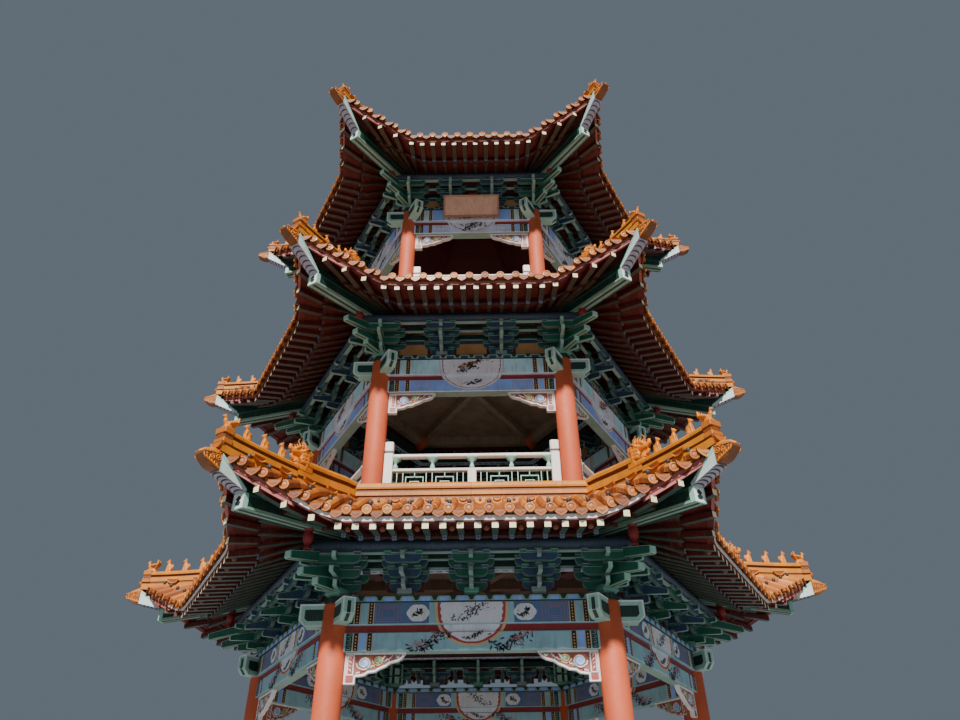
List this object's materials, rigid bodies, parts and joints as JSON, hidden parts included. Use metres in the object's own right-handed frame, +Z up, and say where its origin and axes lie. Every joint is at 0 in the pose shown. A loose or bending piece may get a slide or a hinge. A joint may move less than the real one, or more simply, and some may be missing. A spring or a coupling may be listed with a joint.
{
  "type": "multi-tiered pavilion",
  "caption": "Open hexagonal garden pavilion in storeys: stone base, red columns, painted ring beams, bracket sets, glazed tile roofs with upturned corners, balustrades and a finial.",
  "frame": {"origin": "middle of the underside of the stone base, on the ground", "axes": "+Z up along the axis that the sides repeat round, -Y towards the front side, +X to the right seen from the front"},
  "size_m": [14.82, 12.9444, 20.3203],
  "materials": {
    "base_stone": "sawn grey stone",
    "red_paint": "terracotta red paint, satin",
    "painted_beam": "pale blue and teal paint with bands and panels",
    "green_timber": "green and blue-grey paint with white outlines",
    "roof_tile": "orange-gold glaze",
    "floor_boards": "weathered brown boards",
    "white_marble": "pale honed stone",
    "bare_board": "bare brown board"
  },
  "bodies": {
    "root": {"stone_platform": "base_stone", "ground_column_1": "red_paint", "ground_column_2": "red_paint", "ground_column_3": "red_paint", "ground_column_4": "red_paint", "ground_column_5": "red_paint", "ground_column_6": "red_paint", "ground_ring_beam": "painted_beam", "ground_brackets_and_corner_beams": "green_timber", "ground_roof": "roof_tile", "ground_roof_ridges": "roof_tile", "ground_transfer_beams": "green_timber", "second_column_1": "red_paint", "second_column_2": "red_paint", "second_column_3": "red_paint", "second_column_4": "red_paint", "second_column_5": "red_paint", "second_column_6": "red_paint", "second_ring_beam": "painted_beam", "second_brackets_and_corner_beams": "green_timber", "second_roof": "roof_tile", "second_roof_ridges": "roof_tile", "second_floor": "floor_boards", "second_balustrade_1": "white_marble", "second_balustrade_2": "white_marble", "second_balustrade_3": "white_marble", "second_balustrade_4": "white_marble", "second_balustrade_5": "white_marble", "second_balustrade_6": "white_marble", "second_transfer_beams": "green_timber", "third_column_1": "red_paint", "third_column_2": "red_paint", "third_column_3": "red_paint", "third_column_4": "red_paint", "third_column_5": "red_paint", "third_column_6": "red_paint", "third_ring_beam": "painted_beam", "third_brackets_and_corner_beams": "green_timber", "third_roof": "roof_tile", "third_roof_ridges": "roof_tile", "third_floor": "floor_boards", "third_balustrade_1": "white_marble", "third_balustrade_2": "white_marble", "third_balustrade_3": "white_marble", "third_balustrade_4": "white_marble", "third_balustrade_5": "white_marble", "third_balustrade_6": "white_marble", "roof_finial": "roof_tile", "name_board": "bare_board"}
  },
  "joints": []
}
